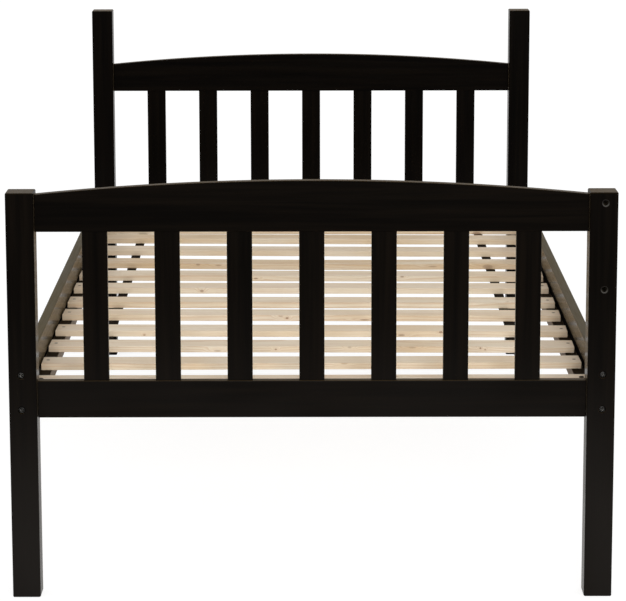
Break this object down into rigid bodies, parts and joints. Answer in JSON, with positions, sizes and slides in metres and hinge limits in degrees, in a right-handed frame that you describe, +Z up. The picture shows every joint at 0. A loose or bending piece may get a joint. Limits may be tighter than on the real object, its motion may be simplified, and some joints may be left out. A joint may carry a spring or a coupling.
{
  "type": "bunk bed",
  "caption": "Twin bed with slatted head and foot boards under shallow arched rails, square posts, side rails and a loose slat deck: the lower half of a separable bunk bed.",
  "frame": {"origin": "on the floor, at the middle of the bed", "axes": "+Y towards the headboard, +Z up, +X to the right seen from the foot end"},
  "size_m": [1.06, 2, 0.852],
  "materials": {
    "dark_stained_wood": "satin dark stain",
    "bare_pine": "planed, unfinished",
    "webbing": "woven, matt",
    "dark_steel": "dark zinc"
  },
  "bodies": {
    "root": {"foot_post_left": "dark_stained_wood", "foot_post_right": "dark_stained_wood", "head_post_left": "dark_stained_wood", "head_post_right": "dark_stained_wood", "footboard_bottom_rail": "dark_stained_wood", "footboard_top_rail": "dark_stained_wood", "footboard_upright_1": "dark_stained_wood", "footboard_upright_2": "dark_stained_wood", "footboard_upright_3": "dark_stained_wood", "footboard_upright_4": "dark_stained_wood", "footboard_upright_5": "dark_stained_wood", "footboard_upright_6": "dark_stained_wood", "footboard_upright_7": "dark_stained_wood", "headboard_bottom_rail": "dark_stained_wood", "headboard_top_rail": "dark_stained_wood", "headboard_upright_1": "dark_stained_wood", "headboard_upright_2": "dark_stained_wood", "headboard_upright_3": "dark_stained_wood", "headboard_upright_4": "dark_stained_wood", "headboard_upright_5": "dark_stained_wood", "headboard_upright_6": "dark_stained_wood", "headboard_upright_7": "dark_stained_wood", "side_rail_left": "dark_stained_wood", "ledger_left": "dark_stained_wood", "side_rail_right": "dark_stained_wood", "ledger_right": "dark_stained_wood", "deck_slat_01": "bare_pine", "deck_slat_02": "bare_pine", "deck_slat_03": "bare_pine", "deck_slat_04": "bare_pine", "deck_slat_05": "bare_pine", "deck_slat_06": "bare_pine", "deck_slat_07": "bare_pine", "deck_slat_08": "bare_pine", "deck_slat_09": "bare_pine", "deck_slat_10": "bare_pine", "deck_slat_11": "bare_pine", "deck_slat_12": "bare_pine", "deck_slat_13": "bare_pine", "slat_strap_left": "webbing", "slat_strap_right": "webbing", "bolt_foot_left_lower": "dark_steel", "bolt_foot_left_upper": "dark_steel", "bolt_foot_right_lower": "dark_steel", "bolt_foot_right_upper": "dark_steel", "bolt_head_left_lower": "dark_steel", "bolt_head_left_upper": "dark_steel", "bolt_head_right_lower": "dark_steel", "bolt_head_right_upper": "dark_steel", "barrel_nut_foot_left_lower": "dark_steel", "barrel_nut_foot_left_upper": "dark_steel", "barrel_nut_foot_right_lower": "dark_steel", "barrel_nut_foot_right_upper": "dark_steel", "barrel_nut_head_left_lower": "dark_steel", "barrel_nut_head_left_upper": "dark_steel", "barrel_nut_head_right_lower": "dark_steel", "barrel_nut_head_right_upper": "dark_steel"}
  },
  "joints": []
}
